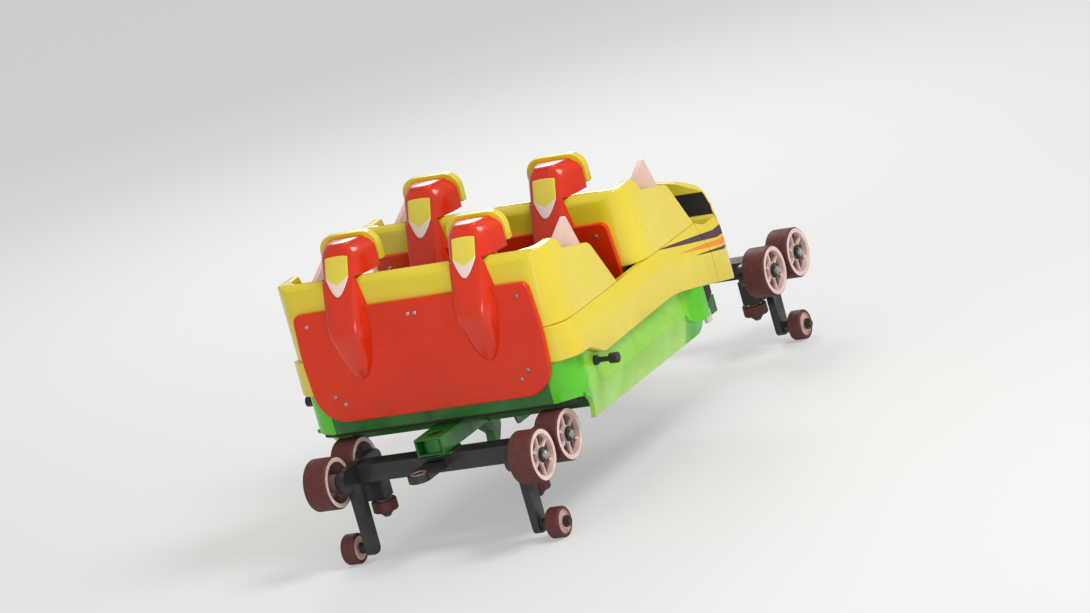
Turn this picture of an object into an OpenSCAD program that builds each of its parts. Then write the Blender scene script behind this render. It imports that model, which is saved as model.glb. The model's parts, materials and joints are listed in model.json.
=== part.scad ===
// Roller coaster car with two rows of two seats, standing on its wheel carriers.
// +X is forward, +Y is to the left, +Z is up, and the floor is at z = 0.
// The origin is on the floor, midway between the two bogies.

/* [Body] */
// Width of the body over the rear corners
body_w = 1240; // [1200:10:1300]
// Flare of the nose beyond the body on each side
nose_flare = 30; // [20:5:50]
// Step of the upper mouldings in from the body on each side
pod_step = 20; // [15:5:30]
// Length from the rear edge of the flank to the tip of the nose
flank_l = 1400; // [1380:10:1440]
// Height of the yellow lower edge above the wheel axles
body_lift = 245; // [240:5:270]
// Height of the sill above the yellow lower edge
sill_h = 185; // [175:5:200]
// Height of the seat mouldings above the sill
pod_h = 305; // [295:5:330]
// Height of the headrests above the seat mouldings
head_h = 130; // [110:5:150]
// Radius of the upright rear corners
corner_r = 105; // [90:5:115]
// Thickness of the lower body walls
tub_wall = 35; // [25:1:35]
// Thickness of the armrest walls
arm_wall = 60; // [50:1:62]
// Thickness of the walls behind the seats
back_wall = 40; // [30:1:45]

/* [Seats] */
// Distance between the two rows
row_pitch = 720; // [700:10:760]
// Gap between the two seat pads of a row
seat_split = 74; // [60:2:90]
// Gap between a seat pad and its armrest
pad_side = 17; // [10:1:25]
// Width of a headrest
head_w = 236; // [200:4:260]
// Height of the seat cushions above the floor pan
cushion_h = 128; // [110:2:140]
// Thickness of a seat cushion
cushion_t = 64; // [50:2:70]
// Thickness of the red rear panels
panel_t = 22; // [15:1:26]

/* [Restraint] */
// Diameter of the foam roll
roll_d = 90; // [70:2:100]
// Diameter of the bar tube
bar_d = 34; // [28:1:40]
// Drop of the roll below its pivot
bar_drop = 256; // [230:2:270]
// Diameter of the pivot pins
bar_pin_d = 24; // [18:1:28]

/* [Running gear] */
// Distance between the two bogie pivots
wheelbase = 2200; // [2180:10:2300]
// Distance between the middles of the left and right road wheels
gauge = 900; // [880:5:910]
// Width of the round passage that the road, guide and upstop wheels leave, without the running gap
rail_d = 120; // [110:2:130]
// Distance between the two road wheels of a side
tandem = 235; // [225:1:245]
// Diameter of a road wheel
road_d = 205; // [190:1:210]
// Width of a road wheel
road_w = 100; // [80:1:104]
// Diameter of a guide wheel
guide_d = 100; // [80:1:104]
// Width of a guide wheel
guide_w = 45; // [35:1:50]
// Diameter of an upstop wheel
upstop_d = 120; // [100:1:124]
// Width of an upstop wheel
upstop_w = 55; // [40:1:60]
// Diameter of the road wheel axles
road_axle_d = 40; // [30:1:44]
// Diameter of the small wheel axles
small_axle_d = 30; // [20:1:32]
// Diameter of the bogie pivot pins
king_pin_d = 60; // [50:1:70]
// Diameter of the bore in each coupling eye
coupling_d = 40; // [30:1:44]
// Distance from a bogie pivot to its coupling bore
coupling_reach = 198; // [190:1:210]

/* [Clearances] */
// Running gap of the guide and upstop wheels, on top of that passage
rail_gap = 4; // [2:0.5:6]
// Radial gap of every turning pin in its bore
pin_gap = 0.3; // [0.2:0.05:0.5]
// Gap between neighbouring faces that don't touch
seat_gap = 0.3; // [0.2:0.05:0.5]
// Gap between a wheel and what holds it
side_gap = 16; // [12:1:18]

/* [Hidden] */
$fn = 48;
nose_w = body_w + 2 * nose_flare;
pod_w = body_w - 2 * pod_step;
pad_reach = pod_w / 2 - arm_wall - pad_side;
seat_w = pad_reach - seat_split / 2;
seat_pitch = pad_reach + seat_split / 2;
rail_z = upstop_d + rail_gap + rail_d / 2;
axle_z = rail_z + rail_d / 2 + road_d / 2;
low_z = axle_z + body_lift;
sill_z = low_z + sill_h;
deck_z = sill_z + pod_h;
head_z = deck_z + head_h;
// Rear edge of the flank, tail of the body, tip of the nose
flank_x = -wheelbase / 2 + 195;
tail_x = flank_x - 100;
nose_x = flank_x + flank_l;
notch_dx = 420;
split_x = flank_x + row_pitch + notch_dx;
// Share of its drawn length that the nose has ahead of its joint, which its outline follows
nose_l = 260;
nose_k = (nose_x - split_x) / nose_l;
nose_rise = 140;
sill_dip = 24;
nose_wall = 96;
fender_rise = 45;
flare_h = 150;
nose_drop = 90;
sweep_r = 900;
// Chassis
beam_h = 70;
table_t = 4;
beam_z = axle_z + beam_h / 2 + table_t + seat_gap;
floor_z = beam_z + beam_h;
floor_t = 15;
seat_z = floor_z + floor_t + cushion_h - cushion_t;
skirt_z = axle_z + 12;
skirt_front = split_x - 70;
tuck_z = axle_z + 134;
tuck = 41;
arch_r = 133;
arch_lip = 16;
skirt_t = 14;
skirt_y = body_w / 2 - 32 - skirt_t;
// Restraint pivot, measured from a row's flank edge
pivot_dx = 240;
pivot_z = deck_z - 110;
roll_dx = 170;
roll_z = pivot_z - bar_drop;
plate_t = 20;
plate_y = pod_w / 2 - arm_wall - 6 - plate_t;
// Carriers
carrier_t = 32;
carrier_y = gauge / 2 - road_w / 2 - side_gap - carrier_t;
guide_y = gauge / 2 - rail_d / 2 - rail_gap - guide_d / 2;
small_dx = 60;
ROWS = [["rear", 0], ["front", 1]];
SIDES = [["left", 1], ["right", -1]];
BOGIES = [["rear", -1], ["front", 1]];
PLACES = [["trailing", -1], ["leading", 1]];

ROW_NODES = ["pod", "back_panel", "seat_base", "headrest_caps", "badge_plates", "lap_bar", "lap_roll"];
SEAT_NODES = ["seat_shell", "seat_pad"];
BOGIE_NODES = ["bogie_beam", "bogie_carriers"];
NODES = concat(
    ["chassis_frame", "skirt_left", "skirt_right", "rear_valance", "floor_pan"],
    ["tub_left", "tub_right", "nose_shell", "side_brackets"],
    [for (n = ROW_NODES, r = ROWS) str(r[0], "_", n)],
    [for (n = SEAT_NODES, r = ROWS, s = SIDES) str(r[0], "_", s[0], "_", n)],
    [for (n = BOGIE_NODES, b = BOGIES) str(b[0], "_", n)],
    [for (b = BOGIES, s = SIDES, p = PLACES) str(b[0], "_", s[0], "_", p[0], "_road_wheel")],
    [for (b = BOGIES, s = SIDES) str(b[0], "_", s[0], "_guide_wheel")],
    [for (b = BOGIES, s = SIDES) str(b[0], "_", s[0], "_upstop_wheel")]
);
node = "all";

yellow = [0.93, 0.85, 0.22];
red = [0.86, 0.2, 0.06];
green = [0.35, 0.72, 0.1];
dark_green = [0.1, 0.42, 0.08];
black = [0.06, 0.06, 0.07];
pale = [0.9, 0.84, 0.8];
maroon = [0.25, 0.06, 0.06];

function unit(v) = v / norm(v);
function turn(d) = d > 180 ? d - 360 : (d < -180 ? d + 360 : d);
// Points of a round corner of radius r at b, between its neighbours a and c
function corner(a, b, c, r, n) =
    r <= 0 ? [b] :
    let (u = unit(a - b), v = unit(c - b), half = acos(u * v) / 2)
    let (o = b + unit(u + v) * r / sin(half))
    let (p = b + u * r / tan(half) - o, q = b + v * r / tan(half) - o)
    let (a0 = atan2(p.y, p.x), da = turn(atan2(q.y, q.x) - a0))
    [for (i = [0:n]) o + r * [cos(a0 + da * i / n), sin(a0 + da * i / n)]];
// Outline from a table whose columns are the two coordinates and the corner's radius
function rounded(t, n = 6) = let (k = len(t)) [
    for (i = [0:k - 1])
        let (a = t[(i + k - 1) % k], b = t[i], c = t[(i + 1) % k])
        each corner([a[0], a[1]], [b[0], b[1]], [c[0], c[1]], b[2], n)
];

// Solid of an X-Z outline between two Y values
module across(y0, y1) {
    translate([0, y1, 0]) rotate([90, 0, 0]) linear_extrude(y1 - y0) children();
}
// Solid of a Y-Z outline between two X values
module along(x0, x1) {
    translate([x0, 0, 0]) rotate([90, 0, 90]) linear_extrude(x1 - x0) children();
}
// Cylinder along Y
module rod_y(d, y0, y1) {
    translate([0, y1, 0]) rotate([90, 0, 0]) cylinder(d = d, h = y1 - y0);
}
module both_sides() {
    children();
    mirror([0, 1, 0]) children();
}

// Lower body as one solid form: plan and cross-section. The inner form is smaller by the
// walls and runs on above and below, so that it leaves an open ring.
module tub_form(inset, front_inset, over) {
    half = body_w / 2 - inset;
    nose_half = inset > 0 ? half : nose_w / 2;
    top = pod_w / 2 - inset;
    tip = nose_x - front_inset;
    top_z = sill_z + nose_rise + 5 + over;
    bottom_z = low_z - nose_drop - 10 - over;
    intersection() {
        translate([0, 0, bottom_z - 10]) linear_extrude(top_z - bottom_z + 20) polygon(rounded([
            [tail_x + inset, half, corner_r - inset],
            [tail_x + inset, -half, corner_r - inset],
            [split_x - 350, -half - 0.01, 0],
            [tip - 110, -nose_half - 0.02, 110],
            [tip, -nose_half + 170, 140],
            [tip, nose_half - 170, 140],
            [tip - 110, nose_half + 0.02, 110],
            [split_x - 350, half + 0.01, 0]
        ]));
        along(tail_x - 10, nose_x + 10) polygon([
            [top - 10, top_z],
            [top, sill_z],
            [nose_half, sill_z - flare_h],
            [nose_half, bottom_z],
            [-nose_half, bottom_z],
            [-nose_half, sill_z - flare_h],
            [-top, sill_z],
            [-top + 10, top_z]
        ]);
    }
}
module tub_side_view() {
    across(-nose_w, nose_w) tub_outline();
}
module tub_outline() {
    polygon(rounded([
        [tail_x - 5, low_z + fender_rise, 0],
        [flank_x + 40, low_z + fender_rise, 40],
        [flank_x + 150, low_z - 7, 90],
        [flank_x + row_pitch + 85, low_z + 5, sweep_r],
        [nose_x - 125 * nose_k, low_z - nose_drop, 30],
        [nose_x, sill_z - 70, 150],
        [nose_x - 32 * nose_k, sill_z + nose_rise, 12 * nose_k],
        [nose_x - 58 * nose_k, sill_z + nose_rise, 10 * nose_k],
        [nose_x - 98 * nose_k, sill_z - sill_dip, 22],
        [nose_x - 205 * nose_k, sill_z - sill_dip, 60],
        [split_x + 1, sill_z, 0],
        [tail_x - 5, sill_z, 0]
    ]));
}
module tub_shell() {
    difference() {
        intersection() {
            tub_form(0, 0, 0);
            tub_side_view();
        }
        tub_form(tub_wall, nose_wall, 200);
        both_sides() along(nose_x - 150, nose_x + 20) polygon(rounded([
            [pod_w / 2 + 60, sill_z + 26, 0],
            [pod_w / 2 - 6, sill_z + 26, 14],
            [pod_w / 2 - 30, sill_z + 78, 60],
            [pod_w / 2 - 150, sill_z + 122, 200],
            [pod_w / 2 - 360, sill_z + nose_rise + 5, 0],
            [pod_w / 2 + 60, sill_z + nose_rise + 5, 0]
        ]));
    }
}
module tub_half(side) {
    color(yellow) intersection() {
        tub_shell();
        translate([tail_x - 10, side > 0 ? 0 : -nose_w, 0]) cube([split_x - tail_x + 10, nose_w, 2000]);
    }
}
module nose_shell() {
    color(yellow) intersection() {
        tub_shell();
        translate([split_x, -nose_w, 0]) cube([nose_w, 2 * nose_w, 2000]);
    }
}

// Upper moulding of a row: the wall behind the seats and the two armrests
module pod_plan(inset, rear) {
    half = pod_w / 2 - inset;
    polygon(rounded([
        [rear, half, corner_r - min(inset, back_wall)],
        [rear, -half, corner_r - min(inset, back_wall)],
        [notch_dx + 100 + inset, -half, 0],
        [notch_dx + 100 + inset, half, 0]
    ]));
}
module pod() {
    color(yellow) difference() {
        intersection() {
            translate([0, 0, sill_z]) linear_extrude(pod_h) pod_plan(0, -100);
            along(-101, notch_dx + 101) polygon(rounded([
                [-pod_w / 2 - 1, sill_z - 1, 0],
                [-pod_w / 2 - 1, deck_z, 36],
                [pod_w / 2 + 1, deck_z, 36],
                [pod_w / 2 + 1, sill_z - 1, 0]
            ]));
            across(-pod_w, pod_w) polygon(rounded([
                [-101, sill_z, 0],
                [-101, deck_z, 45],
                [55, deck_z, 14],
                [72, deck_z - 52, 12],
                [285, deck_z - 98, 60],
                [notch_dx, sill_z, 0]
            ]));
        }
        translate([0, 0, sill_z - 5]) linear_extrude(pod_h + 10) pod_plan(arm_wall, back_wall - 100);
        translate([pivot_dx, 0, pivot_z]) rod_y(bar_pin_d + 2 * pin_gap, -pod_w / 2 + 30, pod_w / 2 - 30);
    }
}

// Red panel on the rear face of a row
panel_half = pod_w / 2 - 80;
panel_top = deck_z - 112;
module back_panel(bottom) {
    color(red) along(-100 - panel_t, -100) polygon(rounded([
        [-panel_half + 8, bottom, 125],
        [panel_half - 8, bottom, 125],
        [panel_half + 8, low_z + 190, 800],
        [panel_half - 4, panel_top, 34],
        [-panel_half + 4, panel_top, 34],
        [-panel_half - 8, low_z + 190, 800]
    ]));
}

// Outline of a seat shell seen from behind, larger by the given amount
module shell_outline(grow) {
    half = head_w / 2 + grow;
    polygon(rounded([
        [-half + 74, low_z + 95 - grow, 43],
        [half - 74, low_z + 95 - grow, 43],
        [half - 6, deck_z - 190, 400],
        [half, head_z + grow, 52 + grow],
        [-half, head_z + grow, 52 + grow],
        [-half + 6, deck_z - 190, 400]
    ]));
}
// Section of a seat shell square to its back: the back is narrower than the front
module shell_section() {
    half = head_w / 2 + 1;
    polygon(rounded([
        [400, half, 0],
        [shell_chamfer, half, 40],
        [-8, 0.57 * half, 12],
        [-8, -0.57 * half, 12],
        [shell_chamfer, -half, 40],
        [400, -half, 0]
    ]));
}
shell_chamfer = 105;
bulge_x = -187;
bulge_z = low_z + 290;
foot_lean = atan2(-187 + 120, 200);
head_lean = atan2(145, head_z - bulge_z);
cap_x = 36;
// Side view of a seat shell, standing off the panel and the wall by the seat gap
module shell_profile() {
    panel_x = -100 - panel_t - seat_gap;
    wall_x = -100 - seat_gap;
    polygon(rounded([
        [panel_x, low_z + 94, 0],
        [panel_x, panel_top + seat_gap, 0],
        [wall_x, panel_top + seat_gap, 0],
        [wall_x, deck_z + seat_gap, 0],
        [cap_x, deck_z + seat_gap, 0],
        [cap_x, head_z + 5, 0],
        [-40, head_z + 5, 60],
        [-118, deck_z - 30, 300],
        [bulge_x + 2, bulge_z, 220]
    ]));
}
module shell_prism(lean) {
    translate([bulge_x, 0, bulge_z]) rotate([0, lean, 0]) translate([0, 0, -600])
        linear_extrude(1200) shell_section();
}
module seat_shell(side) {
    color(red) translate([0, side * seat_pitch / 2, 0]) intersection() {
        along(-200, 100) shell_outline(0);
        across(-head_w, head_w) shell_profile();
        shell_prism(foot_lean);
        shell_prism(head_lean);
    }
}
// Rims in front of the headrests of a row
module headrest_caps() {
    color(yellow) for (s = SIDES) translate([0, s[1] * seat_pitch / 2, 0]) difference() {
        along(cap_x, cap_x + 34) intersection() {
            shell_outline(12);
            translate([-head_w, deck_z + 20]) square([2 * head_w, head_h + 100]);
        }
        along(cap_x - 1, cap_x + 40) shell_outline(-14);
    }
}
// Blank shields on the backs of the headrests of a row
badge_t = 5;
module badge_plates() {
    color(yellow) for (s = SIDES) translate([0, s[1] * seat_pitch / 2, 0]) difference() {
        intersection() {
            along(-200, 0) polygon(rounded([
                [-50, deck_z + 85, 12],
                [-50, deck_z, 40],
                [0, deck_z - 60, 10],
                [50, deck_z, 40],
                [50, deck_z + 85, 12]
            ]));
            across(-head_w, head_w) translate([-badge_t, 0]) shell_profile();
        }
        across(-head_w - 1, head_w + 1) translate([-seat_gap, 0]) shell_profile();
        translate([-100, -head_w, 0]) cube([200, 2 * head_w, deck_z + 2]);
    }
}

// Padding of one seat: cushion and back in one, with the headrest pad above
module seat_pad(side) {
    back_x = back_wall - 100 + seat_gap;
    color(black) {
        intersection() {
            translate([0, side * seat_pitch / 2, 0]) across(-seat_w / 2, seat_w / 2) polygon(rounded([
                [back_x + 18, seat_z + seat_gap, 0],
                [notch_dx - 20, seat_z + seat_gap, 20],
                [notch_dx - 10, seat_z + cushion_t + 14, 28],
                [40, seat_z + cushion_t, 30],
                [cap_x - 10, deck_z - 40, 40],
                [back_x, deck_z - 12, 20],
                [back_x, low_z + 4, 0],
                [back_x + 18, low_z + 4, 0]
            ]));
            translate([0, 0, floor_z]) linear_extrude(pod_h + sill_z - floor_z)
                pod_plan(arm_wall + seat_gap, back_x);
        }
        translate([0, side * seat_pitch / 2, 0]) along(cap_x + seat_gap, cap_x + 50) intersection() {
            shell_outline(-14 - seat_gap);
            translate([-head_w, deck_z + 20]) square([2 * head_w, head_h]);
        }
    }
}
// Bench under the cushions of a row, with the bulkhead below the wall behind the seats
bench_half = skirt_y - 42;
module seat_base(row) {
    color(black) intersection() {
        at_row(row) {
            translate([back_wall - 100, -bench_half, floor_z + floor_t])
                cube([notch_dx + 90 - back_wall, 2 * bench_half, cushion_h - cushion_t]);
            if (row > 0)
                translate([-100, -bench_half, floor_z + floor_t])
                    cube([back_wall, 2 * bench_half, sill_z - floor_z - floor_t - seat_gap]);
        }
        tub_form(tub_wall + 1 + floor_t + seat_gap, nose_wall + 1, 200);
    }
}

// Lap bar of a row: two plates at the armrests, joined by the tube that holds the rolls
module lap_bar() {
    color(pale) {
        both_sides() {
            across(plate_y, plate_y + plate_t) polygon(rounded([
                [110, deck_z - 55, 12],
                [278, deck_z + 20, 8],
                [345, deck_z - 140, 20],
                [roll_dx + 30, roll_z - 18, 24],
                [roll_dx - 30, roll_z - 6, 24],
                [186, pivot_z - 20, 40]
            ]));
            translate([pivot_dx, 0, pivot_z]) rod_y(bar_pin_d, plate_y + plate_t - 1, pod_w / 2 - 31);
        }
        translate([roll_dx, 0, roll_z]) rod_y(bar_d, -plate_y - 1, plate_y + 1);
    }
}
module lap_roll() {
    length = seat_w - 70;
    color(black) for (s = SIDES) translate([roll_dx, s[1] * seat_pitch / 2, roll_z]) difference() {
        rod_y(roll_d, -length / 2, length / 2);
        rod_y(bar_d + 2 * seat_gap, -length, length);
    }
}

// Fin for the brakes and hook for the lift chain, under the spine
module lift_gear() {
    across(-5, 5) polygon(rounded([
        [-520, beam_z + 1, 0],
        [-470, beam_z - 118, 14],
        [470, beam_z - 118, 14],
        [520, beam_z + 1, 0]
    ]));
    across(-20, 20) polygon(rounded([
        [-745, beam_z + 1, 0],
        [-745, beam_z - 40, 12],
        [-700, beam_z - 72, 12],
        [-706, beam_z - 118, 10],
        [-672, beam_z - 118, 10],
        [-632, beam_z - 66, 20],
        [-612, beam_z + 1, 0]
    ]));
}
// Steel frame: a spine between the bogie pivots, cross members and side rails
spine_w = 120;
tube_wall = 8;
rail_y = skirt_y - 78;
CROSS_X = [flank_x + 155, flank_x + 620, split_x + 75];
module chassis_frame() {
    reach = wheelbase / 2 + 70;
    color(dark_green) difference() {
        union() {
            difference() {
                translate([-reach, -spine_w / 2, beam_z]) cube([2 * reach, spine_w, beam_h]);
                translate([-reach - 1, -spine_w / 2 + tube_wall, beam_z + tube_wall])
                    cube([2 * reach + 2, spine_w - 2 * tube_wall, beam_h - 2 * tube_wall]);
            }
            for (b = BOGIES)
                translate([b[1] * wheelbase / 2, 0, beam_z]) cylinder(d = king_pin_d + 50, h = beam_h);
            for (x = CROSS_X) both_sides()
                translate([x - 35, spine_w / 2 - 1, beam_z]) cube([70, skirt_y - spine_w / 2 - 32, beam_h]);
            both_sides() translate([CROSS_X[0], rail_y, beam_z])
                cube([CROSS_X[2] - CROSS_X[0], 36, beam_h]);
            lift_gear();
        }
        for (b = BOGIES) translate([b[1] * wheelbase / 2, 0, beam_z - 1])
            cylinder(d = king_pin_d + 2 * pin_gap, h = beam_h + 2);
    }
}

// Green side skirt: upright above, tucked in below, open round the rear road wheel beside it
arch_x = -wheelbase / 2 + tandem / 2;
module skirt_section(grow) {
    polygon([
        [skirt_y, low_z + 60],
        [skirt_y, tuck_z],
        [skirt_y - tuck, skirt_z],
        [skirt_y - tuck + skirt_t + grow, skirt_z],
        [skirt_y + skirt_t + grow, tuck_z],
        [skirt_y + skirt_t + grow, low_z + 60]
    ]);
}
module skirt_plan(inset) {
    polygon(rounded([
        [tail_x + inset, skirt_y + skirt_t - inset, 95 - inset],
        [tail_x + inset, -600, 0],
        [tail_x + 96, -600, 0],
        [tail_x + 96, skirt_y + skirt_t - inset, 0]
    ]));
}
module skirt(side) {
    color(green) mirror([0, side > 0 ? 0 : 1, 0]) difference() {
        union() {
            intersection() {
                along(tail_x + 95, skirt_front + 40) skirt_section(0);
                across(skirt_y - tuck - 5, body_w) polygon(rounded([
                    [tail_x, low_z + 60, 0],
                    [tail_x, skirt_z, 0],
                    [skirt_front, skirt_z, 45],
                    [skirt_front + 20, low_z + 60, 0]
                ]));
            }
            translate([0, 0, axle_z + arch_r - 4]) linear_extrude(220) difference() {
                skirt_plan(0);
                skirt_plan(skirt_t);
                translate([tail_x - 10, -700]) square([200, 700 + valance_half + seat_gap]);
            }
            intersection() {
                along(tail_x + 60, tail_x + 400) skirt_section(7);
                translate([arch_x, 0, axle_z]) rod_y(2 * (arch_r + arch_lip), skirt_y - 60, skirt_y + 60);
                translate([tail_x + 60, 0, skirt_z]) cube([400, body_w, 400]);
            }
            intersection() {
                translate([0, 0, skirt_z]) linear_extrude(400) polygon(rounded([
                    [split_x - 245, skirt_y, 0],
                    [split_x - 245, skirt_y + skirt_t - 1, 0],
                    [split_x - 170, skirt_y + 58, 30],
                    [split_x - 118, skirt_y + 58, 30],
                    [split_x - 78, skirt_y, 0]
                ]));
                across(skirt_y - 1, body_w) polygon(rounded([
                    [split_x - 246, low_z + 60, 0],
                    [split_x - 246, axle_z + 86, 60],
                    [split_x - 77, axle_z + 86, 60],
                    [split_x - 77, low_z + 60, 0]
                ]));
            }
        }
        translate([arch_x, 0, axle_z]) rod_y(2 * arch_r, skirt_y - 70, body_w);
        across(skirt_y - 200, body_w) translate([0, -seat_gap]) tub_outline();
    }
}
// Upright green panel across the back of the frame, above the wheels
valance_half = 480;
module rear_valance() {
    color(dark_green) translate([tail_x, -valance_half, axle_z + arch_r - 4])
        cube([16, 2 * valance_half, low_z + fender_rise - seat_gap - axle_z - arch_r + 4]);
}
// Floor tray that rests on the frame, with a sloping toe board in the nose
module floor_pan() {
    module tray(inset, over) {
        polygon([
            [tail_x + 17 + inset, floor_z + inset],
            [split_x + 10, floor_z + inset],
            [nose_x - 130 - inset / 2, low_z - nose_drop + 2 + inset],
            [nose_x - nose_wall - 1 - inset, low_z - nose_drop + 48 + inset / 2],
            [nose_x - nose_wall - 1 - inset, floor_z + 100 + over],
            [split_x - 175, floor_z + 100 + over],
            [split_x - 260, low_z - seat_gap + over],
            [tail_x + 17 + inset, low_z - seat_gap + over]
        ]);
    }
    outer = skirt_y - 10;
    color(black) difference() {
        intersection() {
            across(-outer, outer) tray(0, 0);
            tub_form(tub_wall + 1, nose_wall + 1, 200);
        }
        intersection() {
            across(-outer + floor_t, outer - floor_t) tray(floor_t, 10);
            tub_form(tub_wall + 1 + floor_t, nose_wall + 1 + floor_t, 250);
        }
    }
}
// On the skirts: a peg with a knob near the back, as of a foot lever, and a jacking lug near the front
peg_reach = 102;
module side_brackets() {
    foot = skirt_y + skirt_t + seat_gap;
    both_sides() {
        color(black) translate([flank_x + 104, 0, low_z - 24]) {
            rod_y(38, foot, foot + 14);
            rod_y(20, foot, foot + peg_reach);
            rod_y(42, foot + peg_reach - 36, foot + peg_reach);
        }
        color(pale) translate([split_x - 5, rail_y + 36 + seat_gap, beam_z - 16])
            cube([44, 16, 52]);
    }
}

// Cross beam of a bogie. Its own frame has the pivot at x = 0 and the car's end at -X.
module bogie_beam() {
    color(black) difference() {
        union() {
            translate([-50, -carrier_y, axle_z - beam_h / 2]) cube([100, 2 * carrier_y, beam_h]);
            translate([0, 0, axle_z + beam_h / 2 - 1]) cylinder(d = 170, h = table_t + 1);
            translate([0, 0, axle_z]) cylinder(d = king_pin_d, h = beam_z + beam_h - axle_z - 2);
            translate([-coupling_reach, -45, axle_z - 15]) cube([coupling_reach, 90, 30]);
            translate([-coupling_reach, 0, axle_z - 15]) cylinder(d = 90, h = 30);
        }
        translate([-coupling_reach, 0, axle_z - 20]) cylinder(d = coupling_d, h = 40);
    }
}
// Wheel carriers of a bogie, one on each side, with the axles of its wheels
module bogie_carriers() {
    face = carrier_y + carrier_t;
    upstop_z = upstop_d / 2;
    guide_top = rail_z + guide_w / 2;
    hub_out = gauge / 2 + road_w / 2 - 10;
    color(black) both_sides() {
        across(carrier_y, face) {
            polygon(rounded([
                [-tandem / 2 - 48, axle_z - 45, 40],
                [-tandem / 2 - 48, axle_z + 45, 40],
                [tandem / 2 + 48, axle_z + 45, 40],
                [tandem / 2 + 48, axle_z - 45, 40]
            ]));
            polygon(rounded([
                [-small_dx - 34, upstop_z - 30, 24],
                [-small_dx + 34, upstop_z - 30, 24],
                [-small_dx + 38, axle_z - 30, 0],
                [-small_dx - 38, axle_z - 30, 0]
            ]));
        }
        for (p = PLACES) translate([p[1] * tandem / 2, 0, axle_z]) {
            rod_y(road_axle_d, face - 1, hub_out + 16);
            rod_y(road_axle_d + 24, face - 1, gauge / 2 - road_w / 2 - 5);
            rod_y(road_axle_d + 20, hub_out + 5, hub_out + 17);
        }
        translate([-small_dx, 0, upstop_z]) {
            rod_y(small_axle_d, face - 1, gauge / 2 + upstop_w / 2 + 10);
            rod_y(small_axle_d + 16, face - 1, gauge / 2 - upstop_w / 2 - 5);
            rod_y(small_axle_d + 16, gauge / 2 + upstop_w / 2 + 5, gauge / 2 + upstop_w / 2 + 15);
        }
        translate([small_dx - 36, guide_y - 30, guide_top + 8])
            cube([72, face - guide_y + 30, axle_z - beam_h / 2 - guide_top - 8]);
        translate([small_dx, guide_y, rail_z]) {
            translate([0, 0, -guide_w / 2 - 13]) cylinder(d = small_axle_d, h = guide_w + 30);
            translate([0, 0, -guide_w / 2 - 13]) cylinder(d = small_axle_d + 16, h = 8);
        }
    }
}

// Wheels, each on its own axle, with the open face towards +Z before they are turned
module wheel_windows(count, radius, d) {
    for (i = [0:count - 1]) rotate([0, 0, i * 360 / count]) translate([radius, 0, -road_w]) cylinder(d = d, h = 2 * road_w);
}
module road_wheel() {
    r = road_d / 2;
    h = road_w / 2;
    rim = r - 22;
    hub = road_axle_d / 2 + 14;
    color(maroon) {
        difference() {
            rotate_extrude($fn = 72) polygon([
                [road_axle_d / 2 + pin_gap, -h],
                [hub, -h],
                [hub, 5],
                [rim, 5],
                [rim, -h],
                [r - 4, -h],
                [r, 6 - h],
                [r, h - 6],
                [r - 4, h],
                [rim, h],
                [rim, 25],
                [hub, 25],
                [hub, h - 10],
                [road_axle_d / 2 + pin_gap, h - 10]
            ]);
            wheel_windows(6, (rim + hub) / 2, rim - hub - 12);
        }
        for (i = [0:5]) rotate([0, 0, 30 + 60 * i]) translate([hub - 2, -4.5, 24])
            cube([rim - hub + 4, 9, 14]);
    }
}
module small_wheel(d, w) {
    r = d / 2;
    color(maroon) rotate_extrude($fn = 60) polygon([
        [small_axle_d / 2 + pin_gap, -w / 2],
        [r - 3, -w / 2],
        [r, 4 - w / 2],
        [r, w / 2 - 4],
        [r - 3, w / 2],
        [r - 14, w / 2],
        [r - 14, w / 2 - 6],
        [small_axle_d / 2 + 8, w / 2 - 6],
        [small_axle_d / 2 + 8, w / 2],
        [small_axle_d / 2 + pin_gap, w / 2]
    ]);
}

// Places: a row's frame, a bogie's frame, and a wheel on its own axle
module at_row(row) {
    translate([flank_x + row * row_pitch, 0, 0]) children();
}
module at_bogie(end) {
    translate([end * wheelbase / 2, 0, 0]) mirror([end > 0 ? 1 : 0, 0, 0]) children();
}
module on_axle(x, y, z, side) {
    translate([x, y, z]) rotate([-90 * side, 0, 0]) children();
}
function want(name) = node == "all" || node == name;

if (want("chassis_frame")) chassis_frame();
if (want("skirt_left")) skirt(1);
if (want("skirt_right")) skirt(-1);
if (want("rear_valance")) rear_valance();
if (want("floor_pan")) floor_pan();
if (want("tub_left")) tub_half(1);
if (want("tub_right")) tub_half(-1);
if (want("nose_shell")) nose_shell();
if (want("side_brackets")) side_brackets();
for (r = ROWS) {
    if (want(str(r[0], "_pod"))) at_row(r[1]) pod();
    if (want(str(r[0], "_back_panel")))
        at_row(r[1]) back_panel(r[1] == 0 ? low_z - 68 : floor_z + floor_t + seat_gap);
    if (want(str(r[0], "_seat_base"))) seat_base(r[1]);
    if (want(str(r[0], "_headrest_caps"))) at_row(r[1]) headrest_caps();
    if (want(str(r[0], "_badge_plates"))) at_row(r[1]) badge_plates();
    if (want(str(r[0], "_lap_bar"))) at_row(r[1]) lap_bar();
    if (want(str(r[0], "_lap_roll"))) at_row(r[1]) lap_roll();
    for (s = SIDES) {
        if (want(str(r[0], "_", s[0], "_seat_shell"))) at_row(r[1]) seat_shell(s[1]);
        if (want(str(r[0], "_", s[0], "_seat_pad"))) at_row(r[1]) seat_pad(s[1]);
    }
}
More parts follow.
